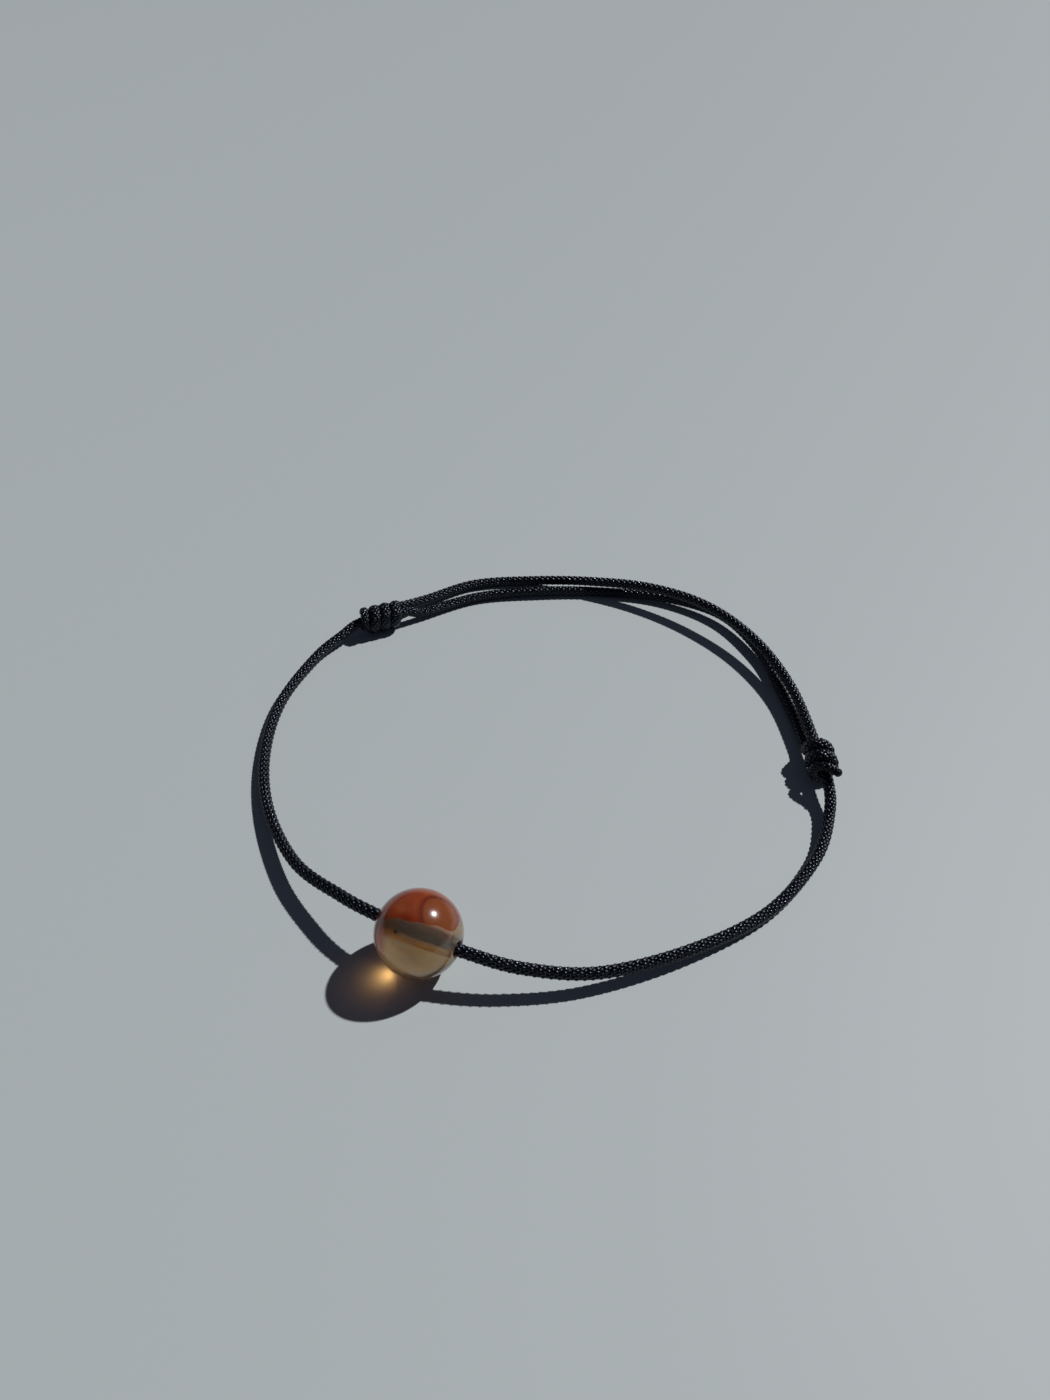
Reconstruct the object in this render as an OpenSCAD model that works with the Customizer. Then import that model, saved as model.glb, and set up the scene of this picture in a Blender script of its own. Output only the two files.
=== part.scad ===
// Cord bracelet with one round bead, lying open on a table.
// One braided cord runs round the wrist. Each of its ends is wrapped round the
// other strand as a sliding knot, so the loop opens by the length of the
// doubled stretch between the two knots. The origin is on the table under the
// middle of the bracelet, +Z is up, and the bead is at the front, towards -Y.

/* [Bead] */
// Diameter of the round bead
bead_d = 8; // [6:0.5:9]
// Diameter of the hole drilled through the bead
bead_bore_d = 1.5; // [1.5:0.1:2]
// How far the rims of the drilled hole are broken
bead_rim_chamfer = 0.2; // [0.1:0.05:0.4]

/* [Cord] */
// Diameter of the braided cord
cord_d = 1.2; // [0.8:0.05:1.2]

/* [Sliding knots] */
// Diameter of the cord where a knot draws it tight
wrap_d = 1.06; // [0.8:0.02:1.1]
// Distance from one wrap of the left knot to the next
left_pitch = 1.3; // [1.12:0.02:1.32]
// Distance from one wrap of the right knot to the next
right_pitch = 1.6; // [1.2:0.05:1.7]
// Gap between the wraps and the strand that they slide on
wrap_gap = 0.1; // [0.08:0.01:0.12]
// Turns that the left knot makes round its strand
left_turns = 3.5; // [1.5:1:3.5]
// Turns that the right knot makes round its strand
right_turns = 2.45; // [1.45:1:2.45]
// Length of the trimmed end that stands out of the left knot
left_tail_l = 0.4; // [0.3:0.1:0.5]
// Length of the trimmed end that stands out of the right knot
right_tail_l = 1.5; // [0.8:0.1:1.8]
// How far that end rises off its strand
right_tail_rise = 0.4; // [0:0.1:0.5]

/* [Hidden] */

// Sides of every cord tube, and the longest step between its rings
cord_sides = 8;
ring_step = 3.4;
// Rings in each turn of a knot
wrap_rings = 12;
// Gap between the cord's end face and the knot that carries it on
butt_gap = 0.25;
// A knot's cord leaves the strand over this share of a turn
ease_turn = 0.2;
// Melted tip of a trimmed end: [share of the cord's radius, distance past the end]
melted_tip = [[0.84, 0], [0.86, 0.12], [0.7, 0.26], [0.36, 0.38]];

cord_color = [0.02, 0.03, 0.04];
bead_color = [0.78, 0.42, 0.2];

// Middle line of the cord, in order along it: from the left knot along the
// back, through the right knot, round the front and through the bead, up the
// left side, through the left knot and along the back again to the right knot.
route = [
    // Back strand that starts at the left knot and arches over the other one
    [-17.8, 23.6, 1.8], [-14.6, 26.4, 0.9], [-8.7, 30.0, 0.63],
    [-1.1, 30.7, 0.73], [6.4, 29.1, 1.73], [13.9, 26.5, 2.6],
    [20.4, 22.2, 3.0], [25.35, 15.95, 2.7], [28.3, 8.1, 2.2],
    // Straight through the right knot
    [29.3, -1.3, 2.05], [29.5, -6.9, 1.95],
    // Down the right side and along the front
    [29.0, -10.7, 1.25], [26.6, -16.2, 0.75], [20.8, -22.65, 0.65],
    [12.9, -27.2, 1.1], [4.5, -30.0, 1.75], [-2.3, -30.3, 2.85],
    // Straight through the bead
    [-7.5, -29.3, 3.9], [-9.7, -28.3, 4.0], [-13.3, -26.6, 4.0],
    [-15.4, -25.5, 4.05],
    // Up the left side
    [-19.0, -22.9, 3.4], [-24.3, -17.8, 2.0], [-28.5, -9.9, 1.05],
    [-30.4, -1.6, 0.68], [-30.1, 6.9, 0.65], [-27.3, 14.6, 0.85],
    [-24.5, 18.4, 1.3],
    // Straight through the left knot
    [-22.3, 20.4, 1.8], [-17.3, 22.5, 1.8],
    // Back strand that lies on the table and ends at the right knot
    [-15.0, 23.6, 0.95], [-8.1, 27.2, 0.65], [-0.1, 28.3, 0.77],
    [7.9, 28.3, 0.65], [15.9, 26.8, 0.8], [22.6, 22.65, 1.1],
    [26.3, 15.7, 0.9], [27.7, 8.9, 0.65], [28.4, 3.6, 0.7],
    [28.45, -1.3, 1.2]
];

// Places of the straight stretches in the route: where each begins and ends
right_core = [9, 10];
bead_core = [18, 19];
left_core = [29, 28];

function unit(v) = v / norm(v);

// Point of a smooth curve through b and c, at the share t of the way
function curve(a, b, c, d, t) =
    0.5 * (2 * b + (c - a) * t + (2 * a - 5 * b + 4 * c - d) * t * t
        + (3 * b - a - 3 * c + d) * t * t * t);

// Route point i, with one more point at either end to start and end straight
function stop_at(p, i) =
    i < 0 ? 2 * p[0] - p[1]
    : i >= len(p) ? 2 * p[len(p) - 1] - p[len(p) - 2]
    : p[i];

function steps_after(p, i) = max(1, round(norm(p[i + 1] - p[i]) / ring_step));

function smooth_line(p) = [
    for (i = [0 : len(p) - 2])
        for (k = [0 : steps_after(p, i) - 1])
            curve(stop_at(p, i - 1), p[i], p[i + 1], stop_at(p, i + 2), k / steps_after(p, i)),
    p[len(p) - 1]
];

function tangent(p, i) = unit(p[min(i + 1, len(p) - 1)] - p[max(i - 1, 0)]);

// Ring of points round c, square to the direction t, whose first axis leans to "to"
function ring(c, t, to, r) =
    let (across = unit(cross(t, to)), up = cross(across, t))
    [for (k = [0 : cord_sides - 1])
        let (a = 360 * (k + 0.5) / cord_sides)
        c + r * (cos(a) * up + sin(a) * across)];

// Closed tube along the points p: towards[i] turns each ring, and r[i] is its radius
module tube(p, towards, r) {
    n = len(p);
    s = cord_sides;
    rings = [for (i = [0 : n - 1]) each ring(p[i], tangent(p, i), towards[i], r[i])];
    walls = [
        for (i = [0 : n - 2])
            for (k = [0 : s - 1])
                each [
                    [i * s + k, (i + 1) * s + k, (i + 1) * s + (k + 1) % s],
                    [i * s + k, (i + 1) * s + (k + 1) % s, i * s + (k + 1) % s]
                ]
    ];
    first_end = [for (k = [0 : s - 1]) k];
    last_end = [for (k = [0 : s - 1]) n * s - 1 - k];
    polyhedron(rings, concat(walls, [first_end, last_end]), convexity = 10);
}

// Wraps of a knot as [distance along the strand, turns made, rise off the strand],
// from the cord's end face over the wraps to the trimmed end
function wrap_steps(turns, pitch, tail_l, rise) =
    let (
        lead = 1 - butt_gap,
        wound = turns - 2 * ease_turn,
        count = ceil(wound * wrap_rings)
    )
    concat(
        [for (t = [0 : 0.25 : 0.75]) [butt_gap + lead * t, ease_turn * t * t, 0]],
        [for (k = [0 : count])
            [1 + pitch * wound * k / count, ease_turn + wound * k / count, 0]],
        [for (t = [0.25 : 0.25 : 0.75])
            [1 + pitch * wound + tail_l * t, turns - ease_turn * (1 - t) * (1 - t), rise * t * t]],
        [for (m = melted_tip)
            [1 + pitch * wound + tail_l + m[1], turns, rise * pow(1 + m[1] / tail_l, 2)]]
    );

// Knot round the strand that runs from route[core[0]] towards route[core[1]].
// first is the angle at which its cord comes in: 0 is the outer side of the
// loop and 180 the inner side. way is 1 where the wraps go from the outer side
// over the top, and -1 where they go from the inner side over the top.
module sliding_knot(core, turns, pitch, tail_l, rise, first, way) {
    from = route[core[0]];
    along = unit(route[core[1]] - from);
    level = unit(cross(along, [0, 0, 1]));
    out = level * from > 0 ? level : -level;
    up = cross(out, along) * [0, 0, 1] > 0 ? cross(out, along) : cross(along, out);
    wrap_r = (cord_d + wrap_d) / 2 + wrap_gap;
    steps = wrap_steps(turns, pitch, tail_l, rise);
    tips = len(melted_tip);
    spokes = [for (s = steps)
        let (a = first + way * 360 * s[1])
        out * cos(a) + up * sin(a)];
    middle = [for (i = [0 : len(steps) - 1])
        from + along * steps[i][0] + spokes[i] * (wrap_r + steps[i][2])];
    radii = [for (i = [0 : len(steps) - 1])
        let (m = i - len(steps) + tips)
        wrap_d / 2 * (m < 0 ? 1 : melted_tip[m][0])];
    tube(middle, spokes, radii);
}

module bead() {
    from = route[bead_core[0]];
    to = route[bead_core[1]];
    turn = atan2(to[1] - from[1], to[0] - from[0]);
    // Height of the rim where the drilled hole breaks the round surface
    rim = sqrt(pow(bead_d / 2, 2) - pow(bead_bore_d / 2, 2));
    color(bead_color)
        translate((from + to) / 2)
            rotate([0, 0, turn])
                rotate([0, 90, 0])
                    difference() {
                        sphere(d = bead_d, $fn = 96);
                        cylinder(d = bead_bore_d, h = 2 * bead_d, center = true, $fn = 48);
                        for (side = [0, 180])
                            rotate([side, 0, 0])
                                translate([0, 0, rim - bead_rim_chamfer])
                                    cylinder(d1 = bead_bore_d, d2 = bead_bore_d + 2 * bead_d,
                                        h = bead_d, $fn = 48);
                    }
}

module cord() {
    line = smooth_line(route);
    color(cord_color)
        tube(line, [for (p = line) [0, 0, 1]], [for (p = line) cord_d / 2]);
}

module knot_left() {
    color(cord_color)
        sliding_knot(left_core, left_turns, left_pitch, left_tail_l, 0, 0, 1);
}

module knot_right() {
    color(cord_color)
        sliding_knot(right_core, right_turns, right_pitch, right_tail_l,
            right_tail_rise, 225, -1);
}

bead();
cord();
knot_left();
knot_right();
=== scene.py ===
"""Looks of a cord bracelet with one round bead, lying open on a table.

One thin black braided cord runs round the loop. Each of its ends is wrapped round
the other strand as a sliding knot, and an agate bead sits on it at the front.
Sizes are in millimetres here and turned to metres where a mesh is made.
"""

import math

import bpy
import numpy as np
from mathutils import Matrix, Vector


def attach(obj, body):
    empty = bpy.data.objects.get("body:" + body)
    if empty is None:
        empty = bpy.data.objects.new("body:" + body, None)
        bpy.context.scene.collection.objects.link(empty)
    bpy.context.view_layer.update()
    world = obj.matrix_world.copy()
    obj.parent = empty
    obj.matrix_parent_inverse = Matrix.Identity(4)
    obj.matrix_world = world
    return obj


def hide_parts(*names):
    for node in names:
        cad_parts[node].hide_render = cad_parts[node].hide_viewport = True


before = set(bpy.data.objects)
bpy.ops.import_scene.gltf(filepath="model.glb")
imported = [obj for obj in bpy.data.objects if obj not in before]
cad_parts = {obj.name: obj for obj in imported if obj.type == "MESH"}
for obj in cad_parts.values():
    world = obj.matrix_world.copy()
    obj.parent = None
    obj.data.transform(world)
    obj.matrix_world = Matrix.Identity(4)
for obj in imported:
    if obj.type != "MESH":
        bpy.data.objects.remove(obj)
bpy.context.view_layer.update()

# Camera: held close over the front of the bracelet and tilted down at it, upright.
MM = 0.001
EYE = (-2.1, -83.1, 81.7)
TILT_DOWN = 41.9
LONG_SIDE = 36  # of the camera's sensor
FOCAL = 27.1
NEAREST = 5  # anything closer to the camera isn't drawn

camera = bpy.data.objects.new("camera", bpy.data.cameras.new("camera"))
camera.location = Vector(EYE) * MM
camera.rotation_euler = (math.radians(90 - TILT_DOWN), 0, 0)
camera.data.sensor_width = LONG_SIDE
camera.data.lens = FOCAL
camera.data.clip_start = NEAREST * MM
bpy.context.scene.collection.objects.link(camera)
bpy.context.scene.camera = camera

# Cord: a thin braid of twelve black nylon yarns round a few straight ones. Six yarns
# wind to the right and six to the left, each over one and under the next, so the
# surface is a net of small slanting lozenges. It is springy and doesn't lie flat.
CORD_D = 1.2
CREST_R = 0.63  # out to the crests of the yarns, which makes the cord 1.2 mm thick on average
YARNS_EACH_WAY = 6
BRAID_PITCH = 4.4  # length of cord in which a yarn winds round once
YARN_SHARE = (0.68, 0.25)  # a yarn's width and height, as shares of the cord's radius
WEAVE_SHARE = 0.12  # how far a yarn moves in and out, as a share of the radius
CORE_SHARE = 0.66  # radius of the straight yarns together, as a share of the cord's
YARN_SIDES = 4  # flats over the arched outside of a yarn
CORE_SIDES = 8
RINGS_PER_CROSSING = 6  # in the length of cord from one crossing of two yarns to the next
STRIPS_FROM = 10  # the two ways' yarns lie this far on either side of 0 in the texture
ROUTE = [
    # Back strand that starts at the left knot and arches over the other one
    (-17.8, 23.6, 1.8), (-14.6, 26.4, 0.9), (-8.7, 30.0, 0.63),
    (-1.1, 30.7, 0.73), (6.4, 29.1, 1.73), (13.9, 26.5, 2.6),
    (20.4, 22.2, 3.0), (25.35, 15.95, 2.7), (28.3, 8.1, 2.2),
    # Straight through the right knot
    (29.3, -1.3, 2.05), (29.5, -6.9, 1.95),
    # Down the right side and along the front
    (29.0, -10.7, 1.25), (26.6, -16.2, 0.75), (20.8, -22.65, 0.65),
    (12.9, -27.2, 1.1), (4.5, -30.0, 1.75), (-2.3, -30.3, 2.85),
    # Straight through the bead
    (-7.5, -29.3, 3.9), (-9.7, -28.3, 4.0), (-13.3, -26.6, 4.0),
    (-15.4, -25.5, 4.05),
    # Up the left side
    (-19.0, -22.9, 3.4), (-24.3, -17.8, 2.0), (-28.5, -9.9, 1.05),
    (-30.4, -1.6, 0.68), (-30.1, 6.9, 0.65), (-27.3, 14.6, 0.85),
    (-24.5, 18.4, 1.3),
    # Straight through the left knot
    (-22.3, 20.4, 1.8), (-17.3, 22.5, 1.8),
    # Back strand that lies on the table and ends at the right knot
    (-15.0, 23.6, 0.95), (-8.1, 27.2, 0.65), (-0.1, 28.3, 0.77),
    (7.9, 28.3, 0.65), (15.9, 26.8, 0.8), (22.6, 22.65, 1.1),
    (26.3, 15.7, 0.9), (27.7, 8.9, 0.65), (28.4, 3.6, 0.7),
    (28.45, -1.3, 1.2),
]
SHORT_STEPS = 60  # from one given point of a line to the next, before they are made even


def smooth_line(points, step):
    """Points at even steps along a smooth curve through the given ones."""
    p = np.array(points, float)
    p = np.vstack([2 * p[0] - p[1], p, 2 * p[-1] - p[-2]])
    t = np.linspace(0, 1, SHORT_STEPS, endpoint=False)[:, None]
    fine = []
    for a, b, c, d in zip(p, p[1:], p[2:], p[3:]):
        bend = (2 * a - 5 * b + 4 * c - d) * t**2 + (3 * b - a - 3 * c + d) * t**3
        fine.append(0.5 * (2 * b + (c - a) * t + bend))
    fine = np.vstack(fine + [p[-2:-1]])
    gone = np.append(0, np.cumsum(np.linalg.norm(np.diff(fine, axis=0), axis=1)))
    stops = np.linspace(0, gone[-1], round(gone[-1] / step) + 1)
    return np.stack([np.interp(stops, gone, fine[:, i]) for i in range(3)], axis=1)


def turning_frame(line):
    """Unit vectors along, across and up from each point of a line, without twist."""
    along = np.gradient(line, axis=0)
    along /= np.linalg.norm(along, axis=1)[:, None]
    up = np.zeros_like(line)
    last = np.array([0.0, 0.0, 1.0])
    for i, t in enumerate(along):
        last = last - t * (last @ t)
        last /= np.linalg.norm(last)
        up[i] = last
    return along, np.cross(up, along), up


def braid(line, radius, ways=(1, -1), core_every=6, press=None):
    """Vertices, faces and yarn coordinates of a braided cord along evenly spaced points.

    ways holds 1 for the yarns that wind to the right and -1 for the ones that wind to
    the left. The straight yarns go with the first, and have one ring for core_every
    points. press holds a matrix for each point, which flattens the cord there.
    """
    press = np.broadcast_to(np.eye(3), (len(line), 3, 3)) if press is None else press
    along, across, up = turning_frame(line)
    step = np.linalg.norm(np.diff(line, axis=0), axis=1).mean()
    pitch = BRAID_PITCH * radius / CREST_R
    s = np.arange(len(line)) * step
    width, height = YARN_SHARE[0] * radius, YARN_SHARE[1] * radius
    weave = WEAVE_SHARE * radius
    middle = radius - height - weave
    slant = math.atan(2 * math.pi * (middle + height / 2) / pitch)
    arch = np.linspace(math.pi, 0, YARN_SIDES + 1)
    vertices, faces, coordinates = [], [], []

    def wall(rings, around):
        """Adds a closed tube of rings with that many corners each."""
        first = sum(len(v) for v in vertices)
        corner = np.arange(around)
        ring = first + np.arange(len(rings) - 1)[:, None] * around
        quads = np.stack([
            ring + corner, ring + around + corner,
            ring + around + (corner + 1) % around, ring + (corner + 1) % around,
        ], axis=-1)
        vertices.append(rings.reshape(-1, 3))
        faces.extend(quads.reshape(-1, 4).tolist())
        faces.append((first + corner).tolist())
        faces.append((first + (len(rings) - 1) * around + corner[::-1]).tolist())

    for way in ways:
        for k in range(YARNS_EACH_WAY):
            turn = 2 * math.pi * (k / YARNS_EACH_WAY + way * s / pitch)
            base = middle + way * weave * np.cos(2 * math.pi * YARNS_EACH_WAY * s / pitch)
            rings = np.empty((len(line), YARN_SIDES + 1, 3))
            for j, a in enumerate(arch):
                x = width / 2 * math.cos(a)
                reach = base + height * math.sin(a)
                angle = turn + x * math.cos(slant) / (middle + height / 2)
                side = -way * x * math.sin(slant)
                spoke = np.cos(angle)[:, None] * up + np.sin(angle)[:, None] * across
                rings[:, j] = side * along + reach[:, None] * spoke
            wall(line[:, None] + rings @ press, YARN_SIDES + 1)
            # Each yarn has a strip of its own, 1 mm from the next one
            u = np.repeat(s / math.cos(slant), YARN_SIDES + 1)
            v = np.tile(np.cos(arch) * width / 2, len(line))
            coordinates.append(np.stack([u, v + k + STRIPS_FROM * way], axis=1))
    if 1 in ways:
        core = line[::core_every]
        angle = np.arange(CORE_SIDES) * 2 * math.pi / CORE_SIDES
        spokes = (np.cos(angle)[:, None] * up[::core_every, None]
                  + np.sin(angle)[:, None] * across[::core_every, None])
        wall(core[:, None] + CORE_SHARE * radius * spokes @ press[::core_every], CORE_SIDES)
        coordinates.append(np.zeros((len(core) * CORE_SIDES, 2)))
    return np.vstack(vertices), faces, np.vstack(coordinates)


def piece(name, vertices, faces, coordinates=None):
    """A smooth mesh object from points in millimetres, with its yarn coordinates."""
    mesh = bpy.data.meshes.new(name)
    mesh.from_pydata((np.asarray(vertices) * MM).tolist(), [], faces)
    mesh.shade_smooth()
    if coordinates is not None:
        corner = np.empty(len(mesh.loops), np.int32)
        mesh.loops.foreach_get("vertex_index", corner)
        layer = mesh.uv_layers.new(name="yarn")
        layer.uv.foreach_set("vector", coordinates[corner].astype(np.float32).ravel())
    made = bpy.data.objects.new(name, mesh)
    bpy.context.scene.collection.objects.link(made)
    return made


def linear(code):
    """Linear colour, opaque, of an sRGB hex code."""
    parts = [int(code[i:i + 2], 16) / 255 for i in (1, 3, 5)]
    parts = [c / 12.92 if c <= 0.04045 else ((c + 0.055) / 1.055) ** 2.4 for c in parts]
    return (*parts, 1.0)


def add(tree, kind, inputs=(), **settings):
    """Adds a node with its settings, and with values or links on its inputs."""
    made = tree.nodes.new(kind)
    for name, value in settings.items():
        setattr(made, name, value)
    for key, value in dict(inputs).items():
        if isinstance(value, bpy.types.NodeSocket):
            tree.links.new(value, made.inputs[key])
        else:
            made.inputs[key].default_value = value
    return made


def new_material(name):
    """A new material and its empty node tree."""
    made = bpy.data.materials.new(name)
    made.use_nodes = True
    made.node_tree.nodes.clear()
    return made, made.node_tree


# Black nylon yarn, dyed before braiding: near black, with a satin glint across each yarn,
# broken up by its fine filaments. Some stretches are duller. The cool cast of its colour
# and of its reflections is a painted reflection of a blue sky.
FILAMENT = 0.05  # drawn about twice as coarse as real filaments so that they show
STREAKS_PER_MM = 0.9  # of a filament's shine, along the yarn
DULL_PATCH = 0.625  # one duller stretch
nylon, tree = new_material("braided_black_nylon")
uv = add(tree, "ShaderNodeUVMap", uv_map="yarn").outputs[0]
streaks = add(tree, "ShaderNodeVectorMath", {0: uv, 1: (STREAKS_PER_MM, 1 / FILAMENT, 1)},
              operation="MULTIPLY")
filaments = add(tree, "ShaderNodeTexNoise",
                {"Vector": streaks.outputs[0], "Scale": 1.0, "Detail": 2.0}, noise_dimensions="2D")
patches = add(tree, "ShaderNodeTexNoise",
              {"Vector": uv, "Scale": 1 / DULL_PATCH, "Detail": 1.0}, noise_dimensions="2D")
# Two near-black tones that vary at random along the filaments; their blue cast is a painted sky reflection
tone = add(tree, "ShaderNodeValToRGB", {"Fac": filaments.outputs["Fac"]})
for end, position, code in ((0, 0.3, "#020408"), (1, 0.75, "#060a12")):
    tone.color_ramp.elements[end].position = position
    tone.color_ramp.elements[end].color = linear(code)
gloss = add(tree, "ShaderNodeMapRange", {
    "Value": patches.outputs["Fac"], "From Min": 0.35, "From Max": 0.65, "To Min": 0.17, "To Max": 0.42,
})
relief = add(tree, "ShaderNodeBump",
             {"Height": filaments.outputs["Fac"], "Strength": 0.3, "Distance": 0.02 * MM})
# The bluish Specular Tint paints a sky reflection's cool cast into the yarn's shine
shader = add(tree, "ShaderNodeBsdfPrincipled", {
    "Base Color": tone.outputs[0], "Roughness": gloss.outputs[0], "Normal": relief.outputs[0],
    "IOR": 1.53, "Specular IOR Level": 0.42, "Specular Tint": linear("#dfe8ff"),
})
add(tree, "ShaderNodeOutputMaterial", {"Surface": shader.outputs[0]})

cord_line = smooth_line(ROUTE, BRAID_PITCH / YARNS_EACH_WAY / RINGS_PER_CROSSING)
cord = piece("cord_braid", *braid(cord_line, CREST_R, ways=(1,)))
left_lay = piece("cord_braid_left_lay", *braid(cord_line, CREST_R, ways=(-1,)))
for yarns in (cord, left_lay):
    yarns.data.materials.append(nylon)
    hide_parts("cord")
    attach(yarns, "root")

# Sliding knots: each end of the cord is wrapped round the other strand, pulled tight
# and trimmed. The wraps press flat against each other, and the ends are melted into
# hard round blobs so that they can't fray.
WRAP_D = 1.06
WRAP_GAP = 0.1
WRAP_R = (CORD_D + WRAP_D) / 2 + WRAP_GAP
LEAD = 1.0  # along the strand, in which the cord comes in to its first wrap
EASE_TURN = 0.2  # the cord leaves the strand over this share of a turn
WRAP_STEPS = 12  # points in each turn
TAIL_STOPS = (0.33, 0.66, 1.0)  # points of the trimmed end, as shares of its length
PRESSED_AFTER = 0.9  # along the strand, in which a wrap goes from round to flat
# Melted end: distance past the last of the yarns, and radius as a share of the cord's
BLOB = [(-0.3, 0.7), (-0.15, 0.8), (0.0, 0.86), (0.12, 0.84), (0.24, 0.7), (0.33, 0.5), (0.38, 0.2)]
BLOB_SIDES = 24
TAPER = 0.6  # length in which the yarns narrow towards their melted end
TAPER_SHARE = 0.78
LEFT_CORE = (29, 28)  # where the strand inside the knot begins and ends in the route
RIGHT_CORE = (9, 10)


def sliding_knot(name, core, before, turns, pitch, tail, rise, first, way, wide, thin):
    """A knot's wraps round a strand of the route, and its trimmed and melted end.

    core holds the two places in the route between which the strand runs, and before is
    the point of the cord that the knot carries on from. pitch is the distance from one
    wrap to the next. The trimmed end has the length tail and rises off the strand by
    rise. first is the angle at which the cord comes in, where 0 is the outer side of the
    loop, and way is 1 where the wraps go from there over the top. wide and thin are a
    pressed wrap's width along the strand and its thickness, as shares of WRAP_D.
    """
    start, end = np.array(ROUTE[core[0]]), np.array(ROUTE[core[1]])
    strand = (end - start) / np.linalg.norm(end - start)
    out = np.cross(strand, (0, 0, 1))
    out /= np.linalg.norm(out)
    out = out if out @ start > 0 else -out
    up = np.cross(out, strand)
    up = up if up[2] > 0 else -up

    # Points as distance along the strand, turns made and rise off the strand
    wound = turns - 2 * EASE_TURN
    wraps_end = LEAD + pitch * wound
    steps = [(LEAD / 2, EASE_TURN / 4, 0)]
    for t in np.linspace(0, 1, round(wound * WRAP_STEPS) + 1):
        steps.append((LEAD + pitch * wound * t, EASE_TURN + wound * t, 0))
    for t in TAIL_STOPS:
        steps.append((wraps_end + tail * t, turns - EASE_TURN * (1 - t) ** 2, rise * t**2))
    points = [before]
    for away, turned, risen in steps:
        angle = math.radians(first) + way * 2 * math.pi * turned
        spoke = out * math.cos(angle) + up * math.sin(angle)
        points.append(start + strand * away + (WRAP_R + risen) * spoke)
    line = smooth_line(points, BRAID_PITCH * WRAP_D / 2 / CREST_R / YARNS_EACH_WAY / RINGS_PER_CROSSING)

    # The wraps are pressed wide and thin, and the end narrows to its melted blob
    away = (line - start) @ strand
    spoke = line - start - away[:, None] * strand
    spoke /= np.linalg.norm(spoke, axis=1)[:, None]
    flat = np.minimum(away, wraps_end - away) / PRESSED_AFTER
    flat = np.clip(flat, 0, 1)[:, None, None]
    press = (np.eye(3) + (wide - 1) * flat * np.outer(strand, strand)
             + (thin - 1) * flat * spoke[:, :, None] * spoke[:, None, :])
    step = np.linalg.norm(np.diff(line, axis=0), axis=1).mean()
    from_end = step * np.arange(len(line))[::-1]
    press = press * np.interp(from_end, (0, TAPER), (TAPER_SHARE, 1))[:, None, None]
    vertices, faces, coordinates = braid(line, WRAP_D / 2, core_every=4, press=press)

    yarn_faces = len(faces)
    ahead, across, above = turning_frame(line)
    angle = np.arange(BLOB_SIDES) * 2 * math.pi / BLOB_SIDES
    ring = np.outer(np.cos(angle), above[-1]) + np.outer(np.sin(angle), across[-1])
    blob = np.vstack([line[-1] + past * ahead[-1] + share * WRAP_D / 2 * ring for past, share in BLOB])
    for i in range(len(BLOB) - 1):
        low = len(vertices) + i * BLOB_SIDES
        high = low + BLOB_SIDES
        for k in range(BLOB_SIDES):
            n = (k + 1) % BLOB_SIDES
            faces.append((low + k, high + k, high + n, low + n))
    last = len(vertices) + len(blob) - 1
    faces.append([len(vertices) + k for k in range(BLOB_SIDES)])
    faces.append([last - k for k in range(BLOB_SIDES)])
    coordinates = np.vstack([coordinates, np.zeros((len(blob), 2))])
    made = piece(name, np.vstack([vertices, blob]), faces, coordinates)
    made.data.materials.append(nylon)
    made.data.materials.append(melted)
    is_blob = np.arange(len(faces)) >= yarn_faces
    made.data.polygons.foreach_set("material_index", is_blob.astype(np.int32))
    return made


# Melted nylon: black, hard and glassy, with a faintly wavy skin from the flame.
RIPPLE = 0.5  # one wave in the skin
melted, tree = new_material("melted_black_nylon")
ripple = add(tree, "ShaderNodeTexNoise", {"Scale": 1 / (RIPPLE * MM), "Detail": 1.0})
relief = add(tree, "ShaderNodeBump",
             {"Height": ripple.outputs["Fac"], "Strength": 0.6, "Distance": 0.05 * MM})
soot = add(tree, "ShaderNodeMapRange", {"Value": ripple.outputs["Fac"], "To Min": 0.15, "To Max": 0.35})
shader = add(tree, "ShaderNodeBsdfPrincipled", {
    "Base Color": linear("#030406"), "Roughness": soot.outputs[0], "Normal": relief.outputs[0],
    "IOR": 1.53, "Specular IOR Level": 0.15,
})
add(tree, "ShaderNodeOutputMaterial", {"Surface": shader.outputs[0]})

knot_left = sliding_knot(
    "knot_left_wraps", LEFT_CORE, before=ROUTE[0], turns=3.5, pitch=1.3, tail=0.4, rise=0,
    first=0, way=1, wide=1.45, thin=0.92)
knot_right = sliding_knot(
    "knot_right_wraps", RIGHT_CORE, before=ROUTE[-1], turns=2.45, pitch=1.6, tail=1.5, rise=0.4,
    first=225, way=-1, wide=1.44, thin=0.96)
for knot, node_name in ((knot_left, "knot_left"), (knot_right, "knot_right")):
    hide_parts(node_name)
    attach(knot, "root")

# Bead: a round agate bead, ground to a ball, drilled through the middle with its rims
# broken, and tumbled to a polish. The cord is threaded through it, so it can slide.
BEAD_D = 8.0
BEAD_R = BEAD_D / 2
BORE_D = 1.5
RIM_BREAK = 0.2
RIM_WIDTH = 0.16  # of the broken rim, out from the hole
BORE_ROWS = 25
BALL_ROWS = 97
AROUND = 128
BEAD_CORE = (18, 19)  # where the cord inside the bead begins and ends in the route
bead_from, bead_to = Vector(ROUTE[BEAD_CORE[0]]), Vector(ROUTE[BEAD_CORE[1]])
bead_middle = (bead_from + bead_to) / 2
turn_to_bore = Vector((0, 0, 1)).rotation_difference(bead_to - bead_from).to_matrix()

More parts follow.
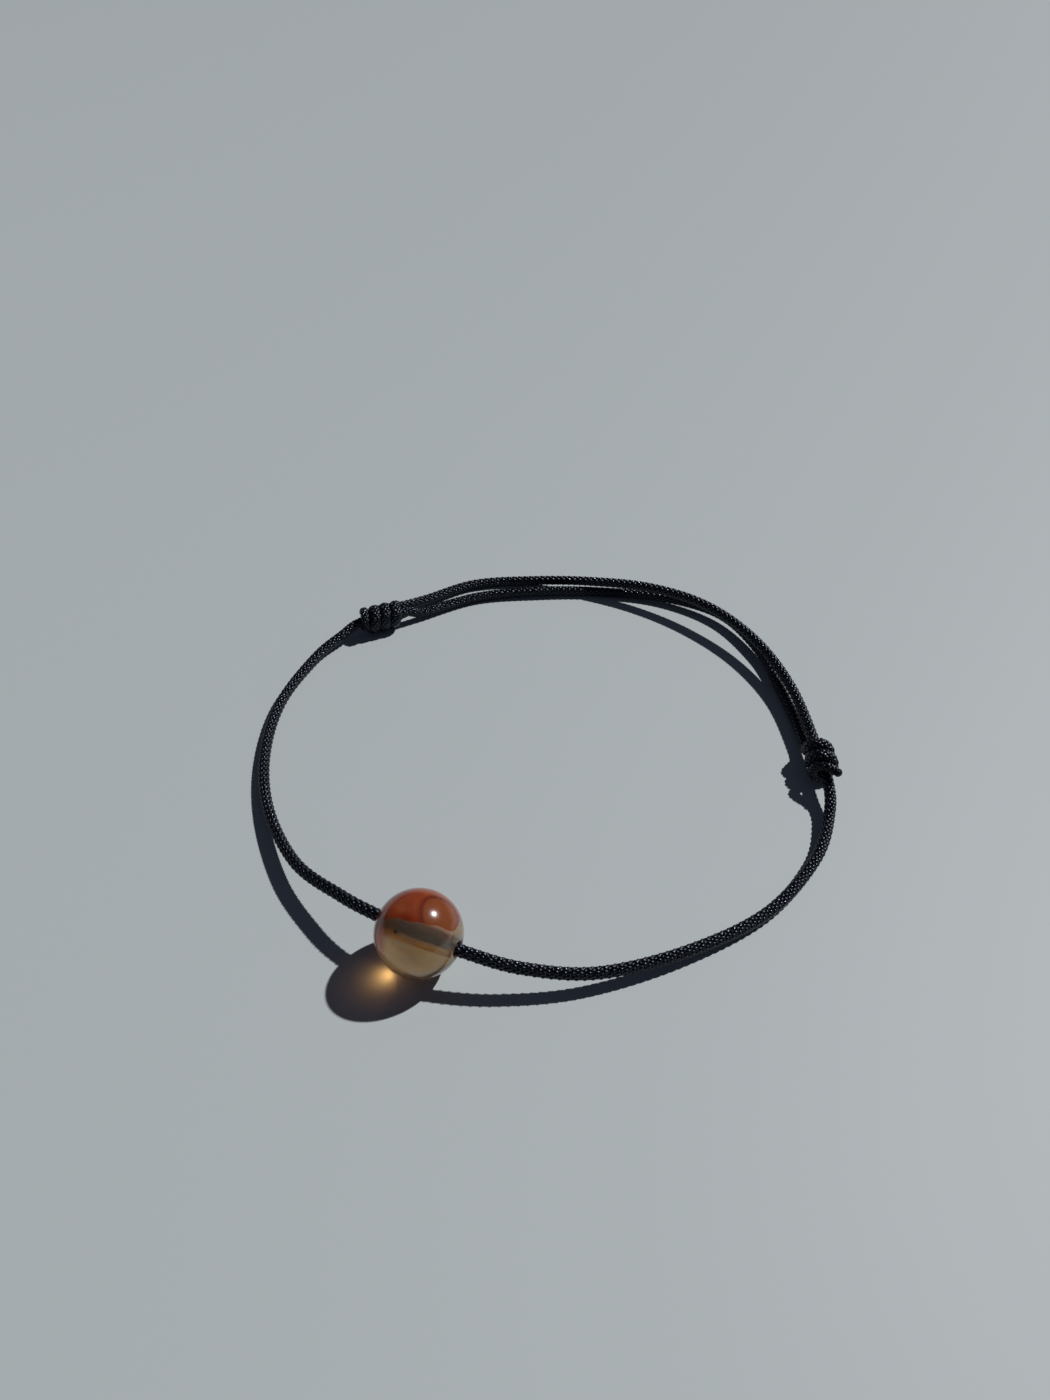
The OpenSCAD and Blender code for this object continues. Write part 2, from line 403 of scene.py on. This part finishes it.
# Outline of half the ball as distance from the hole's middle line and place along it
rim = math.sqrt(BEAD_R**2 - (BORE_D / 2) ** 2) - RIM_BREAK
profile = [(BORE_D / 2, z) for z in np.linspace(-rim, rim, BORE_ROWS)]
start = math.asin((BORE_D / 2 + RIM_WIDTH) / BEAD_R)
for a in np.linspace(start, math.pi - start, BALL_ROWS):
    profile.append((BEAD_R * math.sin(a), BEAD_R * math.cos(a)))
rows = len(profile)
vertices, faces, on_wall = [], [], []
for k in range(AROUND):
    a = 2 * math.pi * k / AROUND
    for r, z in profile:
        vertices.append(tuple(bead_middle + turn_to_bore @ Vector((r * math.cos(a), r * math.sin(a), z))))
    m = (k + 1) % AROUND
    for i in range(rows):
        n = (i + 1) % rows
        faces.append((k * rows + i, k * rows + n, m * rows + n, m * rows + i))
        on_wall.append(int(i < BORE_ROWS - 1))
bead = piece("agate_bead", vertices, faces)

# Polished agate: a red brown cap over cloudy beige stone, with a thin cream layer
# between them at the right. Light soaks into it and partly passes through.
# ACROSS, RISE and FACING are the stone's own directions: along the edge of its cap,
# square to the cap, and out of the side where the layers show best.
FACING = Vector((0.098, -0.580, 0.809)).normalized()
RISE = Vector((0, 0.813, 0.583)).normalized()
ACROSS = RISE.cross(FACING)
GREY_RISE = 0.28 * ACROSS + 0.96 * RISE  # square to the grey layer
CAP_EDGE = [  # height of the cap's edge above the middle, from left to right
    (-4.0, 0.8), (-3.0, 1.1), (-2.0, 1.25), (-0.9, 1.05), (0.2, 0.95),
    (1.3, 0.75), (2.4, 0.4), (3.1, 0.45), (3.5, 1.2), (4.0, 2.4),
]
LOBE = (1.8, 1.6, 3.0)  # middles of the brown lobe and the dark speck: across, rise, facing
SPECK = (-2.04, 0.16, 3.4)
CLOUD = 2.6  # one cloud in the stone
WANDER = 0.8  # how far the clouds push the layers about
CLOUD_DRIFT = 8.0  # how far they push the change from red to orange
SOAK = 3.0  # depth that red light reaches in the stone
CLEAR_BEIGE = 0.82
CLEAR_CAP = 0.55
agate, tree = new_material("polished_agate")
place = add(tree, "ShaderNodeTexCoord").outputs["Object"]
centred = add(tree, "ShaderNodeVectorMath",
              {0: place, 1: (1 / MM,) * 3, 2: -bead_middle}, operation="MULTIPLY_ADD").outputs[0]
clouds = add(tree, "ShaderNodeTexNoise",
             {"Vector": centred, "Scale": 1 / CLOUD, "Detail": 1.0, "Roughness": 0.4})
cloud = clouds.outputs["Fac"]
wander = add(tree, "ShaderNodeVectorMath",
             {0: clouds.outputs["Color"], 1: (WANDER,) * 3, 2: (-WANDER / 2,) * 3}, operation="MULTIPLY_ADD")
wavy = add(tree, "ShaderNodeVectorMath", {0: centred, 1: wander.outputs[0]}, operation="ADD").outputs[0]
across, rise, facing, grey_at = (
    add(tree, "ShaderNodeVectorMath", {0: wavy, 1: way}, operation="DOT_PRODUCT").outputs["Value"]
    for way in (ACROSS, RISE, FACING, GREY_RISE))
seen_at = add(tree, "ShaderNodeCombineXYZ", {0: across, 1: rise, 2: facing}).outputs[0]
lobe_at, speck_at = (
    add(tree, "ShaderNodeVectorMath", {0: seen_at, 1: spot}, operation="DISTANCE").outputs["Value"]
    for spot in (LOBE, SPECK))
drift = add(tree, "ShaderNodeMath", {0: cloud, 1: CLOUD_DRIFT, 2: across},
            operation="MULTIPLY_ADD").outputs[0]

# The curve's two ways run from 0 to 1, for -4 to 4 mm across and 0 to 4 mm of height
along_edge = add(tree, "ShaderNodeMapRange", {"Value": across, "From Min": -BEAD_R, "From Max": BEAD_R})
edge = add(tree, "ShaderNodeFloatCurve", {"Value": along_edge.outputs[0]})
curve = edge.mapping.curves[0]
for end in (0, -1):
    x, y = CAP_EDGE[end]
    curve.points[end].location = ((x + BEAD_R) / BEAD_D, y / BEAD_R)
for x, y in CAP_EDGE[1:-1]:
    curve.points.new((x + BEAD_R) / BEAD_D, y / BEAD_R)
edge.mapping.update()
over_edge = add(tree, "ShaderNodeMath", {0: edge.outputs[0], 1: -BEAD_R, 2: rise},
                operation="MULTIPLY_ADD").outputs[0]

# Layers in the order in which they cover each other: colour, how clear the stone is
# there, and bands. A band is a coordinate in mm, or the cloud's share, where it starts
# and ends, and the layer's share before and after it. The bands of a layer multiply.
IN_CAP = (over_edge, -0.1, 0.12, 0, 1)
LAYERS = [
    # Warmer clouds in the beige stone, and a grey layer in it at the right
    ("#d4a662", CLEAR_BEIGE, [(cloud, 0.35, 0.65, 0, 1)]),
    ("#a39684", CLEAR_BEIGE,
     [(grey_at, -0.9, -0.3, 0, 1), (grey_at, 0.7, 1.2, 1, 0), (across, -2.6, -1.4, 0, 1)]),
    # Cream layer under the cap's edge
    ("#d0ab8c", CLEAR_BEIGE,
     [(over_edge, -0.45, -0.15, 0, 1), (across, 0.2, 1.6, 0, 1), (across, 2.7, 3.6, 1, 0.4)]),
    # Red cap, more orange to the right, with a darker seam round a brown lobe
    ("#9a3012", CLEAR_CAP, [IN_CAP]),
    ("#b85422", CLEAR_CAP, [IN_CAP, (drift, 0.8, 3.6, 0, 1)]),
    ("#7c1e0a", CLEAR_CAP, [IN_CAP, (lobe_at, 1.75, 2.6, 1, 0)]),
    ("#9a4a20", CLEAR_CAP, [IN_CAP, (lobe_at, 1.5, 1.9, 1, 0)]),
    # The cap runs down the left side, and there is one dark speck
    ("#b4481c", CLEAR_CAP, [(across, -3.4, -2.3, 1, 0), (rise, -2.8, -0.8, 0, 1)]),
    ("#2c1a12", CLEAR_CAP, [(speck_at, 0.12, 0.3, 1, 0)]),
]
stone = linear("#c8a070")
clear = CLEAR_BEIGE
for colour, clearness, bands in LAYERS:
    share = 1.0
    for at, low, high, before, after in bands:
        band = add(tree, "ShaderNodeMapRange", {
            "Value": at, "From Min": low, "From Max": high, "To Min": before, "To Max": after,
        }, interpolation_type="SMOOTHSTEP")
        share = add(tree, "ShaderNodeMath", {0: band.outputs[0], 1: share},
                    operation="MULTIPLY").outputs[0]
    stone = add(tree, "ShaderNodeMix", {0: share, 6: stone, 7: linear(colour)},
                data_type="RGBA").outputs[2]
    clear = add(tree, "ShaderNodeMix", {0: share, 2: clear, 3: clearness}).outputs[0]
shader = add(tree, "ShaderNodeBsdfPrincipled", {
    "Base Color": stone, "Roughness": 0.2, "IOR": 1.54, "Transmission Weight": clear,
    "Specular IOR Level": 0.1, "Coat Weight": 0.5, "Coat Roughness": 0.06, "Coat IOR": 1.54,
    "Subsurface Weight": 1.0, "Subsurface Scale": SOAK * MM, "Subsurface Radius": (1.0, 0.6, 0.4),
})
add(tree, "ShaderNodeOutputMaterial", {"Surface": shader.outputs[0]})

# Ground agate: the hole's wall is left as the drill made it, with fine scratches, so it
# scatters light and looks hazy.
SCRATCH = 0.25  # drawn coarser than real scratches so that they show
ground, tree = new_material("ground_bore_wall")
scratches = add(tree, "ShaderNodeTexNoise", {"Scale": 1 / (SCRATCH * MM), "Detail": 2.0})
haze = add(tree, "ShaderNodeValToRGB", {"Fac": scratches.outputs["Fac"]})
haze.color_ramp.elements[0].color = linear("#cfc8be")
haze.color_ramp.elements[1].color = linear("#f4ece2")
shader = add(tree, "ShaderNodeBsdfPrincipled", {
    "Base Color": haze.outputs[0], "Roughness": 0.2, "IOR": 1.54, "Transmission Weight": 0.8,
})
add(tree, "ShaderNodeOutputMaterial", {"Surface": shader.outputs[0]})
bead.data.materials.append(agate)
bead.data.materials.append(ground)
bead.data.polygons.foreach_set("material_index", on_wall)
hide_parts("bead")
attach(bead, "root")

# Table: a plain pale table top of pressed matt laminate, on which the bracelet lies. It
# looks an even cool grey without a shine.
TABLE_SIDE = 2000
bpy.ops.mesh.primitive_plane_add(size=TABLE_SIDE * MM)
table = bpy.context.object
table.name = "table"
laminate, tree = new_material("pale_matt_laminate")
shader = add(tree, "ShaderNodeBsdfPrincipled", {"Base Color": linear("#bfc6c7"), "Roughness": 0.6})
add(tree, "ShaderNodeOutputMaterial", {"Surface": shader.outputs[0]})
table.data.materials.append(laminate)

# Light: one small lamp far off at the back right throws crisp shadows, and a dim cool
# studio fills them in.
TO_LIGHT = Vector((0.586, 0.354, 0.729))
key = bpy.data.objects.new("key_light", bpy.data.lights.new("key_light", "SUN"))
key.data.energy = 3.0
key.data.angle = math.radians(1.5)
key.rotation_euler = TO_LIGHT.to_track_quat("Z", "Y").to_euler()
bpy.context.scene.collection.objects.link(key)

world = bpy.data.worlds.new("studio")
world.use_nodes = True
world.node_tree.nodes["Background"].inputs["Color"].default_value = linear("#c7d5ff")
world.node_tree.nodes["Background"].inputs["Strength"].default_value = 0.0525
bpy.context.scene.world = world
bpy.context.scene.view_settings.view_transform = "Standard"

# The clear stone gathers some of the key light to a warm glow on the table. A small
# lamp under the bead stands for it, and isn't seen itself.
GLOW_AT = Vector((-14.05, -28.85, 1.0))
GLOW_FROM = Vector((0.547, 0.303, 0.781))
glow = bpy.data.objects.new("glow_through_bead", bpy.data.lights.new("glow_through_bead", "SPOT"))
glow.location = GLOW_AT * MM
glow.rotation_euler = GLOW_FROM.to_track_quat("Z", "Y").to_euler()
glow.data.energy = 1.3e-4
glow.data.color = linear("#ffc576")[:3]
glow.data.spot_size = math.radians(140)
glow.data.spot_blend = 1.0
glow.data.shadow_soft_size = 0.6 * MM
glow.visible_camera = False
glow.visible_glossy = False
glow.visible_transmission = False
bpy.context.scene.collection.objects.link(glow)
